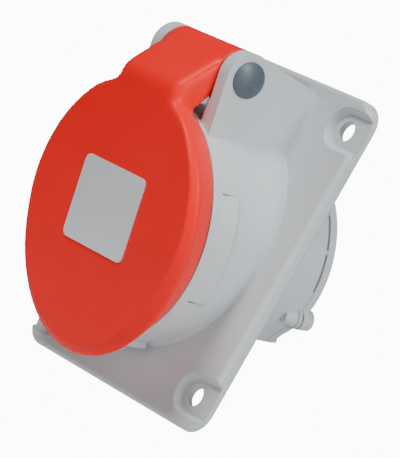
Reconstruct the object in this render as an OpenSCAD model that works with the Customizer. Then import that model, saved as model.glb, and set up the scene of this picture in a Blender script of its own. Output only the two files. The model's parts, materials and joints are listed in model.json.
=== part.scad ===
// Industrial panel socket-outlet, 16 A, three poles and earth, with a sprung lid.
// The flange lies in the XZ plane with its back face at y = 0 and faces -Y.
// The collar, lid, contacts and rear body share one axis, tilted down at the front.
// Inclined parts are drawn in a frame with x to the right, y up across the axis
// and z forward along the axis, and in_axis() turns that frame into the socket's own.

/* [Flange] */
// Width of the flange
flange_w = 73; // [70:1:80]
// Height of the flange
flange_h = 85; // [83:1:92]
// Thickness of the flange
flange_t = 3.4; // [3:0.1:4.5]
// Corner radius of the flange
flange_corner_r = 6; // [4:0.5:7]
// Rounding of the flange's front edge
flange_edge_r = 1.3; // [0.6:0.1:1.8]
// Distance between fixing holes across
hole_pitch_x = 59; // [57:1:60]
// Distance between fixing holes up
hole_pitch_z = 69; // [67:1:70]
// Diameter of a fixing hole
hole_d = 4.8; // [4:0.1:5.4]
// Half width of the recess round a fixing hole
pocket_half = 4.1; // [3.9:0.1:4.5]
// Widening of that recess towards the flange's front
pocket_slope = 1.1; // [0.8:0.1:1.4]
// Material left under a fixing hole's recess
pocket_floor = 1.6; // [1.4:0.1:2.2]

/* [Collar] */
// Tilt of the socket axis
tilt = 15; // [12:1:18]
// Outer radius of the collar
collar_r = 28.5; // [28:0.1:29]
// Reach of the collar in front of the origin, along the axis
collar_reach = 20.4; // [19:0.2:22]
// Radius of the recess for the plug's shroud
recess_r = 25.5; // [25:0.1:25.8]
// Distance of the recess's floor behind the origin, along the axis
recess_back = 4; // [3:0.5:5]
// Length of the sealing lip in front of the collar
lip_len = 2.8; // [2:0.2:3]
// Wall of the sealing lip
lip_wall = 1.5; // [1.2:0.1:1.6]
// Height of the raised side panels at their back edge
panel_rise = 0.5; // [0.3:0.1:0.6]
// Distance of the side panels' back edge in front of the origin
panel_back = 13.1; // [12:0.1:14]
// Angle that a side panel covers
panel_angle = 53; // [45:1:58]
// Half width of the keyway swelling under the collar
key_half = 9.5; // [8:0.5:10]
// Height of that swelling
key_rise = 1.6; // [1:0.1:2]
// Width of the keyway inside the collar
keyway_w = 8.6; // [8:0.1:9]

/* [Hinge] */
// Height of the hinge pin across the axis
pin_up = 38; // [37.6:0.1:39]
// Distance of the hinge pin in front of the origin, along the axis
pin_fw = 13.3; // [13:0.1:14]
// Radius of the hinge pin
pin_r = 2.4; // [2:0.1:2.6]
// Radius of the hinge barrel and of the ears' noses
barrel_r = 6.2; // [6:0.1:6.4]
// Distance of an ear's outer face from the middle
ear_out = 15.8; // [15:0.1:16.5]
// Thickness of an ear
ear_t = 3.4; // [3:0.1:3.5]
// Extra thickness of an ear below the barrel
ear_foot = 0.8; // [0.4:0.1:1]
// Radius of the pin's head
pin_head_r = 4.25; // [4:0.05:4.5]
// Height of the pin's domed head
pin_head_h = 1.7; // [1.2:0.1:2]
// Wire thickness of the hinge spring
spring_wire = 1; // [0.8:0.1:1.1]
// Turns of the hinge spring
spring_turns = 6; // [4:1:6]

/* [Lid] */
// Radius of the lid's rim
lid_rim_r = 28.6; // [28.4:0.1:29]
// Largest radius of the lid, behind its front edge
lid_wide_r = 32.7; // [32:0.1:33]
// How far the widest part sits below the axis
lid_drop = 1.6; // [1:0.1:2]
// Radius of the lid's flat front
lid_face_r = 30.9; // [30:0.1:31.4]
// Distance of the lid's front in front of the origin, along the axis
lid_front = 29.2; // [28.8:0.1:30]
// Wall of the lid
lid_wall = 1.8; // [1.5:0.1:2]
// Half width of the hinge arm
arm_half = 12.1; // [11.8:0.1:12.2]
// Rounding of the hinge arm's long edges
arm_edge_r = 2.2; // [1:0.1:2.6]
// Height of the crest where the hinge arm bends back
arm_crest = 32.2; // [31.6:0.1:33]
// Width of the rating plate
plate_w = 25; // [22:0.5:28]
// Height of the rating plate
plate_h = 20; // [18:0.5:24]
// Thickness of the rating plate
plate_t = 0.3; // [0.2:0.05:0.5]

/* [Contacts] */
// Radius of the circle on which the contacts stand
contact_circle_r = 12; // [11.5:0.1:12.3]
// Radius of a phase pin
phase_pin_r = 2.5; // [2.4:0.05:2.6]
// Radius of the earth pin
earth_pin_r = 3.5; // [3.3:0.05:3.6]
// Wall of a contact sleeve
sleeve_wall = 1.1; // [0.9:0.1:1.2]
// Radius of the insulating boss
boss_r = 19.5; // [19:0.1:19.8]
// Distance of the boss's front in front of the origin
boss_front = 16.5; // [15:0.5:18]
// Radius of a terminal screw's shank
screw_r = 1.5; // [1.2:0.1:1.6]

/* [Rear] */
// Radius of the round spigot behind the flange
spigot_r = 29.1; // [28.9:0.1:29.5]
// Length of that spigot
spigot_len = 5.8; // [3.5:0.1:6]
// Outer radius of the rear body
rear_r = 22.4; // [22.2:0.1:23]
// Distance of the rear body's end behind the origin, along the axis
rear_end = 19.8; // [19:0.2:22]
// Wall of the rear body
rear_wall = 1.6; // [1.4:0.1:1.8]
// Thickness of the retaining ring
ring_t = 2.2; // [1.8:0.1:3]
// Inner radius of the retaining ring
ring_inner_r = 18.6; // [18:0.1:19]
// Angle of the ring's screw lug from the top
lug_angle = 125; // [115:1:135]
// Radius of a screw lug
lug_r = 2.6; // [2.5:0.1:3]
// Half width of the flat under the rear body
foot_half = 10; // [8:0.5:10.5]
// Distance of that flat below the axis
foot_drop = 21.3; // [21:0.1:21.6]
// Size of the slanted corner beside that flat
foot_chamfer = 5; // [4:0.5:6]

/* [Hidden] */
$fn = 64;

// Small cutting allowance
eps = 0.05;
// Radial play of the pin in the lid's barrel
running_fit = 0.06;
// Radial play between pieces that are pushed together
seat_gap = 0.05;
// Play between the lid and what it closes on
lid_gap = 0.2;
// Colours
grey_plastic = [0.70, 0.72, 0.74];
red_plastic = [0.84, 0.17, 0.13];
slate_plastic = [0.36, 0.41, 0.46];
dark_plastic = [0.16, 0.17, 0.18];
brass_metal = [0.80, 0.66, 0.36];
steel_metal = [0.72, 0.73, 0.74];
seal_rubber = [0.12, 0.12, 0.12];
plate_silver = [0.80, 0.81, 0.84];

// Hinge pin's place in the socket's own frame
pin_y = -pin_up * sin(tilt) - pin_fw * cos(tilt);
pin_z = pin_up * cos(tilt) - pin_fw * sin(tilt);
// Inner face of an ear and half length of the hinge barrel
ear_in = ear_out - ear_t;
barrel_half = ear_in - 0.3;
// Rear of the recess's floor, against which the contact carrier seats
floor_t = 1.8;
seat_back = recess_back + floor_t;
// Radius of the collar's stub behind the flange
stub_r = recess_r + 2.5;
// End of the cone between the recess's floor and the rear body
cone_end = seat_back + 3.5;
// Joint between the contact carrier and the terminal housing
split_back = seat_back + 2;
// Inside of the rear body
rear_inner_r = rear_r - rear_wall;
// Radii of the carrier's collar and of its opening in the floor
carrier_r = rear_inner_r - 0.2;
floor_hole_r = boss_r + 0.15;
// Lip that meets the lid's gasket
lip_r = recess_r + lip_wall;
// Lid levels along the axis
lid_rim = collar_reach + lid_gap;
lid_wide = lid_front - 1.9;
lid_ceiling = lid_front - lid_wall;
gasket_back = collar_reach + lip_len + lid_gap;
gasket_t = 2;
gasket_in = recess_r - 1;
lid_inner_r = lip_r + 0.4;
// Hinge pin's brim under the dome, its tail and the washer's groove
pin_brim = 0.4;
pin_tail = 1.8;
groove_w = 0.7;
groove_depth = 0.4;
// Slot in the barrel for the hinge spring
spring_slot = spring_turns * (spring_wire + 0.15) / 2 + 1.6;
spring_r = pin_r + 0.5 + spring_wire / 2;
// Lengths of the spring's legs, towards the lid and towards the collar
spring_lead = 5.4;
spring_tail = 8;
// How far below the pin the spring's room begins
spring_room = 20;
// Contact bores, sleeves and terminal blocks
phase_bore_r = phase_pin_r + 0.05;
earth_bore_r = earth_pin_r + 0.05;
boss_chamfer = 0.8;
sleeve_front = boss_front - 2;
sleeve_back = split_back;
block_half = 4;
earth_block_half = 5;
block_len = 9;
chamber_half = 2.5;
clamp_t = 0.6;
screw_head_r = 2.7;
screw_head_h = 1.8;
// Room round a contact's block, and its wire entry
room_gap = 0.2;
wire_entry_r = 2.8;
// Distance of the terminal screws behind the origin
screw_back = sleeve_back + 5.5;
// Contacts' angles from the top, with earth at the bottom beside the keyway
phase_angles = [270, 0, 90];
earth_angle = 180;
// Screws of the retaining ring
ring_screw_r = 1.2;
ring_head_r = 1.9;
ring_head_h = 1.1;
lug_circle_r = rear_r - 0.1;
lug_len = 1;
lug_taper = 3.5;
lug_slit = 0.4;
lug_out = 1.5;
screw_depth = 2.6;
// Slots in the rear seam
slot_depth = 1;
slot_w = 0.5;

// Turns a frame with z along the socket axis into the socket's own frame
module in_axis() {
    rotate([90 + tilt, 0, 0]) children();
}

// Puts a shape on the hinge pin's axis, with its z along +X
module on_pin() {
    translate([0, pin_y, pin_z]) rotate([0, 90, 0]) children();
}

// Mirrors a shape to both sides of the middle
module both_sides() {
    children();
    mirror([1, 0, 0]) children();
}

// A tube or disc along the axis, between two distances in front of the origin
module disc(r, from, to) {
    translate([0, 0, from]) cylinder(r = r, h = to - from);
}

module rounded_rect(w, h, r) {
    square([w - 2 * r, h], center = true);
    square([w, h - 2 * r], center = true);
    for (sx = [-1, 1], sy = [-1, 1])
        translate([sx * (w / 2 - r), sy * (h / 2 - r)]) circle(r = r);
}

// Section of the flange from its corner's centre outwards, with a rounded front edge
module flange_section() {
    square([flange_corner_r - flange_edge_r, flange_t]);
    square([flange_corner_r, flange_t - flange_edge_r]);
    translate([flange_corner_r - flange_edge_r, flange_t - flange_edge_r]) circle(r = flange_edge_r);
}

// One quarter of the flange, with z forward
module flange_quarter() {
    x = flange_w / 2 - flange_corner_r;
    y = flange_h / 2 - flange_corner_r;
    cube([x, y, flange_t]);
    translate([x, y, 0]) rotate_extrude(angle = 90) flange_section();
    translate([x, y, 0]) rotate([90, 0, 0]) linear_extrude(y) flange_section();
    translate([0, y, 0]) rotate([90, 0, 90]) linear_extrude(x) flange_section();
}

module flange_blank() {
    both_sides() {
        flange_quarter();
        mirror([0, 1, 0]) flange_quarter();
    }
}

// Recess round one fixing hole, open to the flange's side, with sloping walls
module hole_recess() {
    depth = flange_t - pocket_floor;
    top = pocket_half + pocket_slope;
    translate([0, 0, pocket_floor]) {
        cylinder(r1 = pocket_half, r2 = top, h = depth);
        rotate([90, 0, 90]) linear_extrude(flange_w / 2)
            polygon([[-pocket_half, 0], [pocket_half, 0], [top, depth], [-top, depth]]);
    }
}

module flange() {
    difference() {
        flange_blank();
        for (sx = [-1, 1], sy = [-1, 1])
            translate([sx * hole_pitch_x / 2, sy * hole_pitch_z / 2, 0]) {
                rotate([0, 0, sx > 0 ? 0 : 180]) hole_recess();
                translate([0, 0, -1]) cylinder(d = hole_d, h = flange_t + 2);
            }
    }
}

// Side outline of an ear, as [y, z]
module ear_outline() {
    front = [pin_y, pin_z] - barrel_r * [cos(tilt), sin(tilt)];
    down = (pin_up - collar_r + 6) * [sin(tilt), -cos(tilt)];
    translate([pin_y, pin_z]) circle(r = barrel_r);
    polygon([[pin_y, pin_z + barrel_r], front + [0.001, 0], front + down,
             [-flange_t / 2, (front + down)[1]], [-flange_t / 2, pin_z + barrel_r]]);
}

// The part of an ear's outline that stands clear below the lid's barrel
module ear_foot_outline() {
    intersection() {
        ear_outline();
        rotate(tilt) translate([-2 * collar_r, 0]) square([2 * collar_r, pin_up - barrel_r - 0.3]);
    }
}

module ears() {
    both_sides() rotate([90, 0, 90]) {
        translate([0, 0, ear_in]) linear_extrude(ear_t) ear_outline();
        translate([0, 0, ear_in - ear_foot]) linear_extrude(ear_foot + eps) ear_foot_outline();
    }
}

// Raised panel on the collar's side, fading out towards the mouth
module side_panel() {
    rotate([0, 0, -panel_angle / 2]) rotate_extrude(angle = panel_angle)
        polygon([[collar_r - 1, panel_back], [collar_r + panel_rise, panel_back],
                 [collar_r, collar_reach - 2.6], [collar_r - 1, collar_reach - 2.6]]);
}

// Swelling under the collar that holds the keyway
module key_swelling() {
    intersection() {
        disc(collar_r + key_rise, panel_back - 0.4, collar_reach - 0.6);
        translate([-key_half, -2 * collar_r, 0]) cube([2 * key_half, 2 * collar_r, 2 * collar_reach]);
    }
}

// Lug for a retaining ring screw, at its angle from the top
module at_lug(side) {
    angle = side > 0 ? lug_angle : lug_angle + 180;
    rotate([0, 0, -angle]) translate([0, lug_circle_r, 0]) children();
}

// Outline of the rear body, with its flat foot
module body_outline() {
    circle(r = rear_r);
    polygon([[-foot_half, -foot_drop], [foot_half, -foot_drop],
             [foot_half + foot_chamfer, foot_chamfer - foot_drop],
             [-foot_half - foot_chamfer, foot_chamfer - foot_drop]]);
}

// The same with a screw lug on either side
module rear_outline() {
    body_outline();
    for (side = [-1, 1]) at_lug(side) circle(r = lug_r);
}

// Shallow slots in the seam between the rear body and its ring
module seam_slots() {
    both_sides() for (slot = [[13, 21], [-14, 24]])
        rotate([0, 0, slot[0]]) translate([0, 0, -rear_end - eps]) rotate_extrude(angle = slot[1])
            translate([rear_r - slot_depth, 0]) square([slot_depth + 1, slot_w + eps]);
}

// Everything that is hollowed out of the housing along the axis
module housing_bores() {
    disc(recess_r, -collar_r, collar_reach + lip_len + 1);
    translate([-keyway_w / 2, -lip_r + 0.2, -recess_back + 6])
        cube([keyway_w, 6, collar_reach + recess_back + lip_len]);
}

module housing() {
    color(grey_plastic) difference() {
        union() {
            rotate([90, 0, 0]) flange();
            intersection() {
                in_axis() {
                    disc(collar_r, -seat_back, collar_reach);
                    disc(lip_r, 0, collar_reach + lip_len);
                    both_sides() side_panel();
                    key_swelling();
                }
                translate([-flange_w / 2, -3 * collar_r, -flange_h / 2])
                    cube([flange_w, 3 * collar_r - flange_t / 2, flange_h]);
            }
            ears();
            rotate([-90, 0, 0]) cylinder(r = spigot_r, h = spigot_len);
            in_axis() disc(stub_r, -seat_back, 0);
        }
        in_axis() housing_bores();
        on_pin() cylinder(r = pin_r + seat_gap, h = 4 * ear_out, center = true);
    }
}

// Floor of the recess, with the tube behind it that holds the contacts
module rear_body() {
    color(grey_plastic) in_axis() difference() {
        union() {
            disc(recess_r - seat_gap, -seat_back, -recess_back);
            translate([0, 0, -cone_end])
                cylinder(r1 = rear_r, r2 = recess_r - seat_gap, h = cone_end - seat_back);
            translate([0, 0, -rear_end + lug_len])
                linear_extrude(rear_end - lug_len - cone_end) body_outline();
            translate([0, 0, -rear_end]) linear_extrude(lug_len) rear_outline();
            for (side = [-1, 1]) at_lug(side)
                translate([0, 0, -rear_end + lug_len / 2])
                    cylinder(r1 = lug_r - 0.1, r2 = ring_screw_r + 0.2, h = lug_taper);
        }
        disc(floor_hole_r, -seat_back - 1, 0);
        disc(rear_inner_r, -rear_end - 1, -seat_back);
        seam_slots();
        for (side = [-1, 1])
            at_lug(side) disc(ring_screw_r + seat_gap, -rear_end - 1, -rear_end + screw_depth + 0.2);
    }
}

// Outside of the lid's cap, widest behind its front edge and lower than the axis there
module lid_cap() {
    hull() {
        disc(lid_rim_r, lid_rim, lid_rim + eps, $fn = 72);
        for (a = [0, 25, 50, 75, 90])
            translate([0, -lid_drop + (lid_drop - 0.3) * (1 - cos(a)), 0])
                disc(lid_wide_r - (lid_wide_r - lid_face_r) * (1 - cos(a)),
                     lid_wide, lid_wide + (lid_front - lid_wide) * sin(a) + (a == 0 ? eps : 0), $fn = 72);
    }
}

// Points that round a corner b between a and c, from reach away on either side
function soft_corner(a, b, c, reach) =
    let (p = b + reach * (a - b) / norm(a - b), q = b + reach * (c - b) / norm(c - b))
    [for (i = [0:6]) let (u = i / 6) (1 - u) * (1 - u) * p + 2 * u * (1 - u) * b + u * u * q];

// Side outline of the hinge arm, as [forward, up] in the axis frame
function arm_outline() =
    let (pin = [pin_fw, pin_up],
         crest = [lid_front, arm_crest],
         foot = [lid_front, arm_crest - 6],
         touch_r = barrel_r - 0.1,
         lean = atan2(crest[1] - pin_up, crest[0] - pin_fw) + acos(touch_r / norm(pin - crest)),
         top = pin + touch_r * [cos(lean), sin(lean)])
    concat([foot], soft_corner(foot, crest, top, 2.6),
           [top, pin, [pin_fw + 6.6, pin_up - 6.3], [lid_front - 6.2, pin_up - 7.1],
            [lid_front - 6.2, foot[1]]]);

// The hinge arm, drawn along X, with its long edges rounded in steps
module hinge_arm() {
    in_axis() rotate([0, -90, 0]) hull() for (a = [0, 22.5, 45, 67.5, 90]) {
        half = arm_half - arm_edge_r * (1 - sin(a));
        translate([0, 0, -half]) linear_extrude(2 * half)
            offset(delta = -arm_edge_r * (1 - cos(a))) polygon(arm_outline());
    }
}

// Space round the spring, inside the barrel and the arm
module spring_space() {
    on_pin() cylinder(r = spring_r + spring_wire, h = 2 * spring_slot, center = true);
    translate([-spring_slot, pin_y, pin_z]) rotate([-43.5, 0, 0])
        translate([0, 0, -3 * barrel_r]) cube([2 * spring_slot, 2 * barrel_r, 6 * barrel_r]);
}

module lid() {
    color(red_plastic) difference() {
        union() {
            in_axis() lid_cap();
            hinge_arm();
            on_pin() cylinder(r = barrel_r, h = 2 * barrel_half, center = true);
        }
        in_axis() {
            disc(lid_inner_r, lid_rim - 1, gasket_back + gasket_t);
            disc(lid_inner_r - 1.4, lid_rim - 1, lid_ceiling);
        }
        on_pin() cylinder(r = pin_r + running_fit, h = 4 * ear_out, center = true);
        intersection() {
            spring_space();
            in_axis() translate([-spring_slot, pin_up - spring_room, 0])
                cube([2 * spring_slot, 2 * spring_room, lid_front - 6]);
        }
    }
}

module lid_gasket() {
    color(seal_rubber) in_axis() difference() {
        disc(lid_inner_r - seat_gap, gasket_back, gasket_back + gasket_t);
        disc(gasket_in, gasket_back - 1, gasket_back + gasket_t + 1);
    }
}

module rating_plate() {
    color(plate_silver) in_axis() translate([0, 0, lid_front])
        linear_extrude(plate_t) rounded_rect(plate_w, plate_h, 1.8);
}

module hinge_pin() {
    rise = pin_head_h - pin_brim;
    dome_r = (pow(pin_head_r, 2) + pow(rise, 2)) / (2 * rise);
    color(slate_plastic) on_pin() {
        difference() {
            translate([0, 0, -ear_out - pin_tail]) cylinder(r = pin_r, h = 2 * ear_out + pin_tail + eps);
            translate([0, 0, -ear_out - groove_w]) difference() {
                cylinder(r = pin_r + 1, h = groove_w);
                cylinder(r = pin_r - groove_depth, h = groove_w);
            }
        }
        translate([0, 0, ear_out]) cylinder(r = pin_head_r, h = pin_brim);
        intersection() {
            translate([0, 0, ear_out + pin_head_h - dome_r]) sphere(r = dome_r);
            translate([0, 0, ear_out + pin_brim]) cylinder(r = pin_head_r, h = pin_head_h);
        }
    }
}

module pin_washer() {
    color(steel_metal) on_pin() translate([0, 0, -ear_out - groove_w + seat_gap]) difference() {
        cylinder(r = pin_r + 1.8, h = groove_w - 2 * seat_gap);
        translate([0, 0, -groove_w]) cylinder(r = pin_r - groove_depth + seat_gap, h = 3 * groove_w);
    }
}

// Points along the spring's wire in the YZ plane, each with its x and its outward direction
function spring_path() =
    let (fixed = 230, moving = -70, half = spring_turns * (spring_wire + 0.15) / 2,
         span = fixed + 360 * (spring_turns - 1) - moving,
         turn_steps = 16 * spring_turns,
         lead = [cos(moving), sin(moving)], tail = [cos(fixed), sin(fixed)])
    concat([[-half, spring_r * lead + spring_lead * [sin(moving), -cos(moving)], lead]],
           [for (i = [0:turn_steps]) let (a = moving + span * i / turn_steps)
               [-half + 2 * half * i / turn_steps, spring_r * [cos(a), sin(a)], [cos(a), sin(a)]]],
           [[half, spring_r * tail + spring_tail * [-sin(fixed), cos(fixed)], tail]]);

// Sweeps a round wire along the path, with a fixed number of sides
module hinge_spring() {
    sides = 8;
    path = spring_path();
    count = len(path);
    points = [for (p = path, k = [0:sides - 1]) let (a = 360 * k / sides, w = spring_wire / 2)
        [p[0] + w * sin(a), p[1][0] + w * cos(a) * p[2][0], p[1][1] + w * cos(a) * p[2][1]]];
    skin = [for (i = [0:count - 2], k = [0:sides - 1]) let (n = (k + 1) % sides)
        [i * sides + k, i * sides + n, (i + 1) * sides + n, (i + 1) * sides + k]];
    start = [for (k = [0:sides - 1]) sides - 1 - k];
    finish = [for (k = [0:sides - 1]) (count - 1) * sides + k];
    color(steel_metal) translate([0, pin_y, pin_z])
        polyhedron(points = points, faces = concat([start], skin, [finish]));
}

// Moves a shape to a contact's place, at its angle from the top
module at_contact(angle) {
    rotate([0, 0, -angle]) translate([0, contact_circle_r, 0]) children();
}

// One quarter of the insulating boss, with a hole for its contact
module carrier(angle, bore_r) {
    r = boss_r - seat_gap;
    color(dark_plastic) in_axis() difference() {
        rotate([0, 0, 90 - angle]) translate([seat_gap, 0, 0]) rotate([0, 0, -45]) rotate_extrude(angle = 90)
            polygon([[0, -split_back], [carrier_r - seat_gap, -split_back],
                     [carrier_r - seat_gap, -seat_back], [r, -seat_back], [r, boss_front - boss_chamfer],
                     [r - boss_chamfer, boss_front], [0, boss_front]]);
        at_contact(angle) disc(bore_r + sleeve_wall + seat_gap, -split_back - 1, boss_front + 1);
    }
}

// Rear half of the insulation, with a room for each terminal block
module terminal_housing() {
    color(dark_plastic) in_axis() difference() {
        disc(carrier_r, -rear_end, -split_back - seat_gap);
        for (a = phase_angles) at_contact(a) terminal_room(block_half);
        at_contact(earth_angle) terminal_room(earth_block_half);
    }
}

// Room for a terminal block, its wire entry from behind and the way to its screw
module terminal_room(half) {
    side = half + room_gap;
    translate([-side, -side, -sleeve_back - block_len - room_gap])
        cube([2 * side, 2 * side, block_len + 2]);
    disc(wire_entry_r, -rear_end - 1, -sleeve_back - block_len);
    translate([0, 0, -screw_back]) rotate([-90, 0, 0]) cylinder(r = screw_head_r + 0.3, h = carrier_r);
}

// Contact sleeve that takes a plug's pin, pressed against its terminal block
module contact(angle, bore_r) {
    color(brass_metal) in_axis() at_contact(angle) difference() {
        disc(bore_r + sleeve_wall, -sleeve_back, sleeve_front);
        disc(bore_r, -sleeve_back - 1, sleeve_front + 1);
    }
}

// Terminal block with its wire chamber and screw hole
module terminal(angle, half) {
    color(brass_metal) in_axis() at_contact(angle) difference() {
        translate([-half, -half, -sleeve_back - block_len]) cube([2 * half, 2 * half, block_len]);
        translate([-chamber_half, -chamber_half, -sleeve_back - block_len - 1])
            cube([2 * chamber_half, 2 * chamber_half, block_len]);
        translate([0, 0, -screw_back]) rotate([-90, 0, 0])
            cylinder(r = screw_r + seat_gap, h = 3 * half);
    }
}

// Plate that the terminal screw presses on the wire
module clamp(angle) {
    color(steel_metal) in_axis() at_contact(angle)
        translate([-chamber_half + 0.3, chamber_half - 0.4 - clamp_t, -screw_back - 3])
            cube([2 * chamber_half - 0.6, clamp_t, 5.6]);
}

module terminal_screw(angle, half) {
    tip = chamber_half - 0.4;
    slot_w = 0.8;
    color(steel_metal) in_axis() at_contact(angle)
        translate([0, 0, -screw_back]) rotate([-90, 0, 0]) difference() {
            union() {
                translate([0, 0, tip]) cylinder(r = screw_r, h = half - tip + 1);
                translate([0, 0, half + seat_gap]) cylinder(r = screw_head_r, h = screw_head_h);
            }
            translate([-2 * screw_head_r, -slot_w / 2, half + screw_head_h / 2])
                cube([4 * screw_head_r, slot_w, screw_head_h]);
        }
}

// Ring behind the rear body, with two lugs and a foot that stand out behind it
module retaining_ring() {
    end = -rear_end - ring_t;
    color(grey_plastic) in_axis() difference() {
        union() {
            translate([0, 0, end]) linear_extrude(ring_t - seat_gap) rear_outline();
            for (side = [-1, 1]) at_lug(side) disc(lug_r - 0.1, end - lug_out, end + ring_t / 2);
            translate([0.1 - foot_half, 0.1 - foot_drop, end - lug_out])
                cube([2 * foot_half - 0.2, 2 * lug_r, lug_out + ring_t / 2]);
        }
        disc(ring_inner_r, end - 2 * lug_out, 0);
        for (side = [-1, 1]) at_lug(side) {
            disc(ring_screw_r + 0.15, end - 2 * lug_out, 0);
            disc(ring_head_r + 0.1, end - 2 * lug_out, end - lug_out + ring_head_h);
            translate([-2 * lug_r, 0.6, -rear_end - lug_slit]) cube([4 * lug_r, 2 * lug_r, 2 * lug_slit]);
        }
    }
}

// Screw whose head is sunk in the ring's lug
module ring_screw(side) {
    seat = -rear_end - ring_t - lug_out + ring_head_h;
    slot_w = 0.7;
    color(steel_metal) in_axis() at_lug(side) difference() {
        union() {
            disc(ring_screw_r, seat, -rear_end + screw_depth);
            disc(ring_head_r, seat - ring_head_h + 0.2, seat);
        }
        translate([-2 * ring_head_r, -slot_w / 2, seat - ring_head_h - slot_w])
            cube([4 * ring_head_r, slot_w, 2 * slot_w]);
    }
}

housing();
lid();
lid_gasket();
rating_plate();
hinge_pin();
pin_washer();
hinge_spring();
rear_body();
carrier(phase_angles[0], phase_bore_r);  // carrier_l1
carrier(phase_angles[1], phase_bore_r);  // carrier_l2
carrier(phase_angles[2], phase_bore_r);  // carrier_l3
carrier(earth_angle, earth_bore_r);  // carrier_earth
terminal_housing();
contact(phase_angles[0], phase_bore_r);  // contact_l1
contact(phase_angles[1], phase_bore_r);  // contact_l2
contact(phase_angles[2], phase_bore_r);  // contact_l3
contact(earth_angle, earth_bore_r);  // contact_earth
terminal(phase_angles[0], block_half);  // terminal_l1
terminal(phase_angles[1], block_half);  // terminal_l2
terminal(phase_angles[2], block_half);  // terminal_l3
terminal(earth_angle, earth_block_half);  // terminal_earth
clamp(phase_angles[0]);  // clamp_l1
clamp(phase_angles[1]);  // clamp_l2
clamp(phase_angles[2]);  // clamp_l3
clamp(earth_angle);  // clamp_earth
terminal_screw(phase_angles[0], block_half);  // terminal_screw_l1
terminal_screw(phase_angles[1], block_half);  // terminal_screw_l2
terminal_screw(phase_angles[2], block_half);  // terminal_screw_l3
terminal_screw(earth_angle, earth_block_half);  // terminal_screw_earth
retaining_ring();
ring_screw(1);  // ring_screw_right
ring_screw(-1);  // ring_screw_left
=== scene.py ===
import json
import math

import bmesh
import bpy
import numpy as np
from mathutils import Matrix, Vector


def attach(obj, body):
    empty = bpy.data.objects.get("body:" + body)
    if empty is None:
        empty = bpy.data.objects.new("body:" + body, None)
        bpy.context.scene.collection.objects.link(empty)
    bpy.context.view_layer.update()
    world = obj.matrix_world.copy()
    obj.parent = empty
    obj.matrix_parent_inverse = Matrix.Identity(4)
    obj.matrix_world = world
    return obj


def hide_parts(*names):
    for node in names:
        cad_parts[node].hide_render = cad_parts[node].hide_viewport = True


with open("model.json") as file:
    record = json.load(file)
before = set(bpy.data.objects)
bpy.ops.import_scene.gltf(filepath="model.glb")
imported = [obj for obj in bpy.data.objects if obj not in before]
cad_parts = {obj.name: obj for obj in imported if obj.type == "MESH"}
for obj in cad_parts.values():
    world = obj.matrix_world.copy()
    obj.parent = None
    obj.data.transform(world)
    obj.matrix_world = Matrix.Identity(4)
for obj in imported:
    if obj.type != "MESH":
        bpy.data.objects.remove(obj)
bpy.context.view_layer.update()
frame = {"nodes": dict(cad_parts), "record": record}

MM = 0.001
TILT = math.radians(15)
AXIS_UP = Vector((0, -math.sin(TILT), math.cos(TILT)))
AXIS_FORWARD = Vector((0, -math.cos(TILT), -math.sin(TILT)))


# Place in the frame of a point given along the socket's tilted axis, in millimetres
def on_axis(x, up, forward):
    return (Vector((x, 0, 0)) + AXIS_UP * up + AXIS_FORWARD * forward) * MM


# Camera, at the photograph's angle
def add_camera():
    data = bpy.data.cameras.new("camera")
    data.sensor_width = 36
    data.lens = 259.5
    data.clip_start = 0.01
    camera = bpy.data.objects.new("camera", data)
    bpy.context.scene.collection.objects.link(camera)
    turn = Matrix(((0.5552872, -0.2807196, 0.7828491), (0.6670408, -0.4118582, -0.6208296),
                   (0.4967018, 0.8669310, -0.0414482))).to_4x4()
    camera.matrix_world = Matrix.Translation((0.603139, -0.479307, -0.032205)) @ turn
    bpy.context.scene.camera = camera


# Light from a soft square panel that faces the object
def add_light(name, place, size, power, colour=(1, 1, 1)):
    data = bpy.data.lights.new(name, "AREA")
    data.size = size
    data.energy = power
    data.color = colour
    light = bpy.data.objects.new(name, data)
    light.location = place
    light.rotation_euler = (-Vector(place)).to_track_quat("-Z", "Y").to_euler()
    bpy.context.scene.collection.objects.link(light)


def add_world():
    world = bpy.data.worlds.new("studio")
    world.use_nodes = True
    bpy.context.scene.world = world
    nodes, links = world.node_tree.nodes, world.node_tree.links
    nodes.clear()
    out = nodes.new("ShaderNodeOutputWorld")
    mix = nodes.new("ShaderNodeMixShader")
    seen = nodes.new("ShaderNodeBackground")
    lit = nodes.new("ShaderNodeBackground")
    rays = nodes.new("ShaderNodeLightPath")
    seen.inputs["Color"].default_value = (1, 1, 1, 1)
    seen.inputs["Strength"].default_value = 12.0
    lit.inputs["Color"].default_value = (0.95, 0.97, 1, 1)
    lit.inputs["Strength"].default_value = 0.05
    links.new(rays.outputs["Is Camera Ray"], mix.inputs["Fac"])
    links.new(lit.outputs[0], mix.inputs[1])
    links.new(seen.outputs[0], mix.inputs[2])
    links.new(mix.outputs[0], out.inputs["Surface"])


def add_floor():
    mesh = bpy.data.meshes.new("floor")
    work = bmesh.new()
    bmesh.ops.create_circle(work, cap_ends=True, segments=96, radius=0.3)
    work.to_mesh(mesh)
    work.free()
    floor = bpy.data.objects.new("floor", mesh)
    floor.location = (0, 0, -0.1)
    bpy.context.scene.collection.objects.link(floor)
    mesh.materials.append(plain("floor_paper", (0.86, 0.86, 0.86), 0.8))


def plain(name, colour, rough):
    material = bpy.data.materials.new(name)
    material.use_nodes = True
    shader = material.node_tree.nodes["Principled BSDF"]
    shader.inputs["Base Color"].default_value = (*colour, 1)
    shader.inputs["Roughness"].default_value = rough
    return material


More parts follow.
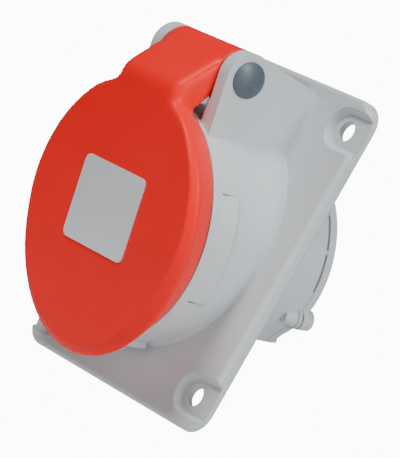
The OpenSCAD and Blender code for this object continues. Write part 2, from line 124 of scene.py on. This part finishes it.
# Procedural finish: colour that drifts, a grain in bump and roughness, and soft worn edges
def finish(name, colour, rough, drift=0.06, grain=(900, 0.02), edge=0.0004, wear=0.25,
           worn=None, metal=0.0, coat=0.0, stretch=(1, 1, 1), specular=0.5):
    material = bpy.data.materials.new(name)
    material.use_nodes = True
    nodes, links = material.node_tree.nodes, material.node_tree.links
    shader = nodes["Principled BSDF"]
    shader.inputs["Metallic"].default_value = metal
    shader.inputs["Specular IOR Level"].default_value = specular
    if coat:
        shader.inputs["Coat Weight"].default_value = coat
        shader.inputs["Coat Roughness"].default_value = 0.12
    place = nodes.new("ShaderNodeTexCoord")
    scale = nodes.new("ShaderNodeMapping")
    scale.inputs["Scale"].default_value = stretch
    links.new(place.outputs["Object"], scale.inputs["Vector"])

    def noise(size, detail, vector=scale):
        node = nodes.new("ShaderNodeTexNoise")
        node.inputs["Scale"].default_value = size
        node.inputs["Detail"].default_value = detail
        links.new(vector.outputs["Vector"], node.inputs["Vector"])
        return node

    def ramp(source, low, high, start=0.3, stop=0.7):
        node = nodes.new("ShaderNodeValToRGB")
        node.color_ramp.elements[0].position = start
        node.color_ramp.elements[1].position = stop
        node.color_ramp.elements[0].color = low
        node.color_ramp.elements[1].color = high
        links.new(source, node.inputs["Fac"])
        return node

    def mix(factor, one, two):
        node = nodes.new("ShaderNodeMix")
        node.data_type = "RGBA"
        links.new(factor, node.inputs["Factor"])
        links.new(one, node.inputs[6])
        links.new(two, node.inputs[7])
        return node

    cloud = noise(38, 4)
    dark = tuple(c * (1 - drift) for c in colour)
    light = tuple(min(1, c * (1 + drift)) for c in colour)
    base = ramp(cloud.outputs["Fac"], (*dark, 1), (*light, 1))
    # Edges are where the rounded normal departs from the face's own
    bevel = nodes.new("ShaderNodeBevel")
    bevel.samples = 6
    bevel.inputs["Radius"].default_value = edge
    geometry = nodes.new("ShaderNodeNewGeometry")
    dot = nodes.new("ShaderNodeVectorMath")
    dot.operation = "DOT_PRODUCT"
    links.new(bevel.outputs["Normal"], dot.inputs[0])
    links.new(geometry.outputs["Normal"], dot.inputs[1])
    scuff = noise(260, 5)
    edge_mask = ramp(dot.outputs["Value"], (wear, wear, wear, 1), (0, 0, 0, 1), 0.8, 0.985)
    scuff_mask = ramp(scuff.outputs["Fac"], (0, 0, 0, 1), (1, 1, 1, 1), 0.42, 0.62)
    both = nodes.new("ShaderNodeMath")
    both.operation = "MULTIPLY"
    links.new(edge_mask.outputs["Color"], both.inputs[0])
    links.new(scuff_mask.outputs["Color"], both.inputs[1])
    worn_colour = nodes.new("ShaderNodeRGB")
    worn_colour.outputs[0].default_value = (*(worn or light), 1)
    tone = mix(both.outputs[0], base.outputs["Color"], worn_colour.outputs[0])
    links.new(tone.outputs[2], shader.inputs["Base Color"])
    blotch = noise(120, 6)
    rough_ramp = ramp(blotch.outputs["Fac"], (rough - 0.05,) * 3 + (1,), (rough + 0.07,) * 3 + (1,))
    links.new(rough_ramp.outputs["Color"], shader.inputs["Roughness"])
    fine = noise(grain[0], 3)
    bump = nodes.new("ShaderNodeBump")
    bump.inputs["Strength"].default_value = 0.35
    bump.inputs["Distance"].default_value = grain[1] * MM
    links.new(fine.outputs["Fac"], bump.inputs["Height"])
    links.new(bevel.outputs["Normal"], bump.inputs["Normal"])
    links.new(bump.outputs["Normal"], shader.inputs["Normal"])
    return material


MATERIALS = {
    "grey_plastic": finish("grey_plastic", (0.56, 0.61, 0.63), 0.45, drift=0.02, edge=0.0007, worn=(0.68, 0.72, 0.73), specular=0.35),
    "red_plastic": finish("red_plastic", (0.93, 0.007, 0.008), 0.40, drift=0.03, edge=0.0003, wear=0.12, specular=0.15,
                          worn=(0.82, 0.05, 0.03), grain=(700, 0.0012)),
    "slate_plastic": finish("slate_plastic", (0.075, 0.105, 0.130), 0.42, drift=0.08, edge=0.0003, worn=(0.2, 0.24, 0.28)),
    "dark_plastic": finish("dark_plastic", (0.028, 0.030, 0.034), 0.5, drift=0.12, worn=(0.08, 0.08, 0.085)),
    "seal_rubber": finish("seal_rubber", (0.018, 0.018, 0.019), 0.7, drift=0.15, worn=(0.04, 0.04, 0.04), grain=(1400, 0.03)),
    "plate_silver": finish("plate_silver", (0.80, 0.83, 0.87), 0.36, drift=0.03, metal=0.35, edge=0.0001,
                           worn=(0.8, 0.82, 0.85), grain=(900, 0.008), stretch=(0.08, 1, 1)),
    "brass": finish("brass", (0.66, 0.46, 0.19), 0.28, drift=0.08, metal=1.0, edge=0.0002, worn=(0.8, 0.62, 0.32)),
    "steel": finish("steel", (0.56, 0.57, 0.58), 0.32, drift=0.06, metal=1.0, edge=0.0002, worn=(0.75, 0.75, 0.76)),
    # seam_grime colours the seam slots dark, and it also paints the shade in the corner round the raised side panels
    "seam_grime": finish("seam_grime", (0.13, 0.145, 0.155), 0.7, drift=0.2, edge=0.0001, worn=(0.2, 0.22, 0.23)),
}

add_camera()
add_world()
add_floor()
add_light("key", (0.80, -0.05, 0.60), 0.36, 7.0)
add_light("front_fill", (0.02, -0.64, 0.70), 0.30, 8.2)
add_light("right_fill", (0.85, 0.10, 0.05), 0.55, 2.4)


# Piece made of rows of points joined into a skin, fixed to the base
def skin(name, rows, slot, loop=False):
    mesh = bpy.data.meshes.new(name)
    width = len(rows[0])
    faces = []
    for i in range(len(rows) - 1):
        for k in range(width if loop else width - 1):
            n = (k + 1) % width
            faces.append((i * width + k, i * width + n, (i + 1) * width + n, (i + 1) * width + k))
    mesh.from_pydata([tuple(p) for row in rows for p in row], [], faces)
    mesh.polygons.foreach_set("use_smooth", [True] * len(mesh.polygons))
    mesh.materials.append(MATERIALS[slot])
    mesh.update()
    piece = bpy.data.objects.new(name, mesh)
    bpy.context.scene.collection.objects.link(piece)
    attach(piece, "base")
    return piece


# Concave corner strip from one end over a corner point to the other end
def cove(one, corner, two, steps=6):
    points = []
    for i in range(steps + 1):
        u = i / steps
        points.append(one * (1 - u) ** 2 + corner * (2 * u * (1 - u)) + two * u ** 2)
    return points


COLLAR = 28.5
FLANGE_FACE = -3.4
SINK = 0.02


# Collar's point at an angle from the top, a distance in front of the flange's face
def collar_root(angle, ahead, sink=0.0):
    x, up = (COLLAR - sink) * math.sin(angle), (COLLAR - sink) * math.cos(angle)
    forward = (-FLANGE_FACE - up * math.sin(TILT)) / math.cos(TILT)
    return on_axis(x, up, forward + ahead)


def add_collar_fillet(reach=1.0):
    rows = []
    for i in range(145):
        angle = math.radians(31 + 298 * i / 144)
        corner = collar_root(angle, 0)
        nearby = collar_root(angle + 0.01, 0)
        along = (nearby - corner).normalized()
        outward = along.cross(Vector((0, 1, 0)))
        if outward.dot(corner) < 0:
            outward = -outward
        outward.y = 0
        outward.normalize()
        two = corner + outward * reach * MM + Vector((0, SINK * MM, 0))
        rows.append(cove(collar_root(angle, reach, SINK), corner, two))
    skin("collar_fillet", rows, "grey_plastic")


# Corner strips where an ear meets the flange and the collar
def add_ear_fillets(side, reach=1.1):
    face = 15.8 * side
    rows = []
    for i in range(25):
        z = 21.5 + 17.7 * i / 24
        corner = Vector((face, FLANGE_FACE, z)) * MM
        rows.append(cove(corner + Vector((-SINK * side, -reach, 0)) * MM, corner,
                         corner + Vector((reach * side, SINK, 0)) * MM))
    skin("ear_fillet_" + ("right" if side > 0 else "left"), rows, "grey_plastic")
    angle = math.asin(15.8 / COLLAR)
    turn = reach * 0.6 / COLLAR
    rows = []
    for i in range(25):
        ahead = -1.0 + 16.5 * i / 24
        corner = collar_root(angle * side, ahead)
        up = corner + AXIS_UP * reach * 0.6 * MM + Vector((-SINK * side, 0, 0)) * MM
        rows.append(cove(up, corner, collar_root((angle + turn) * side, ahead, SINK)))
    skin("ear_foot_fillet_" + ("right" if side > 0 else "left"), rows, "grey_plastic")


# Painted shade: a thin dark line in the corner round a raised side panel, where the panel's foot lies in shade
def add_panel_shade_line(side, half_angle=26.5, back=13.1, front=17.8, radius=0.15):
    path = []
    for i in range(13):
        path.append((90 - half_angle, front + (back - front) * i / 12))
    for i in range(1, 48):
        path.append((90 - half_angle + 2 * half_angle * i / 48, back))
    for i in range(13):
        path.append((90 + half_angle, back + (front - back) * i / 12))
    centres = []
    for angle, forward in path:
        a = math.radians(angle) * side
        centres.append(on_axis((COLLAR + 0.08) * math.sin(a), (COLLAR + 0.08) * math.cos(a), forward - 0.05))
    rows = []
    for i, centre in enumerate(centres):
        before, after = centres[max(i - 1, 0)], centres[min(i + 1, len(centres) - 1)]
        along = (after - before).normalized()
        out = (centre - AXIS_FORWARD * centre.dot(AXIS_FORWARD)).normalized()
        across = along.cross(out).normalized()
        rows.append([centre + (out * math.cos(k * math.pi / 3) + across * math.sin(k * math.pi / 3)) * radius * MM
                     for k in range(6)])
    # The dark seam_grime colour on this line is painted shade, not grime
    skin("panel_shade_line_" + ("right" if side > 0 else "left"), rows, "seam_grime", loop=True)


# Moulding mark on the pin's domed head, off its middle
def add_pin_mark():
    pin = on_axis(0, 38.0, 13.3)
    head_x = (15.8 + 1.7 - 0.12) * MM
    middle = Vector((head_x, pin.y + 0.9 * MM, pin.z - 0.9 * MM))
    rows = []
    for radius, out in ((0.02, -0.1), (0.3, -0.08), (0.45, 0.16), (0.7, 0.18), (0.9, -0.1)):
        rows.append([middle + Vector((out, radius * math.cos(k * math.pi / 12), radius * math.sin(k * math.pi / 12))) * MM
                     for k in range(24)])
    skin("pin_mark", rows, "slate_plastic", loop=True)


# Distance from the axis to a circle of radius r whose centre lies drop below the axis
def off_centre(r, drop, angle):
    return -drop * np.cos(angle) + np.sqrt(r * r - (drop * np.sin(angle)) ** 2)


# Gives the front of the cap its crisp edge: radii of the face's edge by the angle from the top
def shape_front(points):
    x, up = points[:, 0] / MM, points @ np.array(AXIS_UP) / MM
    forward = points @ np.array(AXIS_FORWARD) / MM
    radius, angle = np.hypot(x, up), np.arctan2(np.abs(x), up)
    wide = off_centre(32.7, 1.6, angle)
    face = off_centre(30.9, 0.3, angle)
    edge = np.interp(np.degrees(angle), (0, 60, 90, 115, 135, 157, 180), (30.4, 30.8, 30.7, 30.1, 30.5, 31.6, 32.2))
    rise = np.clip((forward - 27.3) / 1.9, 0, 1)
    now = wide - (wide - face) * (1 - np.sqrt(1 - rise ** 2))
    wanted = wide + (edge - wide) * rise
    fade = np.clip((radius - 20) / 9, 0, 1) * np.clip((np.degrees(angle) - 36) / 12, 0, 1)
    stretch = 1 + (wanted / now - 1) * fade * (rise > 0)
    shift = (stretch - 1)[:, None] * (np.array((1.0, 0, 0)) * x[:, None] + np.array(AXIS_UP) * up[:, None])
    return points + shift * MM


# The lid with soft moulded edges: its CAD mesh resampled and smoothed, most where the arm grows out of the cap
def add_soft_lid():
    source = frame["nodes"]["lid"]
    work = bpy.data.objects.new("lid_work", source.data.copy())
    bpy.context.scene.collection.objects.link(work)
    resample = work.modifiers.new("resample", "REMESH")
    resample.mode = "VOXEL"
    resample.voxel_size = 0.42 * MM
    bpy.context.view_layer.update()
    view = bpy.context.evaluated_depsgraph_get()
    mesh = bpy.data.meshes.new_from_object(work.evaluated_get(view))
    bpy.data.objects.remove(work)
    count = len(mesh.vertices)
    points = np.empty(count * 3)
    mesh.vertices.foreach_get("co", points)
    points = points.reshape(-1, 3)
    edges = np.empty(len(mesh.edges) * 2, dtype=np.int64)
    mesh.edges.foreach_get("vertices", edges)
    one, two = edges.reshape(-1, 2).T
    links = np.bincount(np.concatenate((one, two)), minlength=count)[:, None]
    x = points[:, 0] / MM
    up = points @ np.array(AXIS_UP) / MM
    forward = points @ np.array(AXIS_FORWARD) / MM
    from_pin = np.hypot(up - 38.0, forward - 13.3)
    inside = (np.hypot(x, up) < 27.6) & (forward < 27.7)
    soft = np.where((from_pin < 4.2) | inside, 0.0, 1.0)
    neck = np.exp(-((up - 29.5) / 4.0) ** 2) * np.exp(-((np.abs(x) - 12.5) / 4.5) ** 2) * (forward > 21.5) * soft
    points = shape_front(points)
    for rounds, weight in ((4, soft), (46, neck)):
        weight = weight[:, None] * 0.5
        for _ in range(rounds):
            total = np.stack([np.bincount(one, points[two, k], count) + np.bincount(two, points[one, k], count)
                              for k in range(3)], axis=1)
            points += (total / links - points) * weight
    mesh.vertices.foreach_set("co", points.ravel())
    mesh.polygons.foreach_set("use_smooth", [True] * len(mesh.polygons))
    mesh.materials.clear()
    mesh.materials.append(MATERIALS["red_plastic"])
    mesh.update()
    lid = bpy.data.objects.new("soft_lid", mesh)
    bpy.context.scene.collection.objects.link(lid)
    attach(lid, "lid")
    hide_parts("lid")


add_soft_lid()
add_collar_fillet()
for side in (1, -1):
    add_ear_fillets(side)
    add_panel_shade_line(side)
add_pin_mark()

# Every CAD solid takes its slot's material
slots = {s["node"]: s["material_slot"] for s in frame["record"]["subparts"]}
for name, solid in frame["nodes"].items():
    solid.data.materials.clear()
    solid.data.materials.append(MATERIALS[slots[name]])
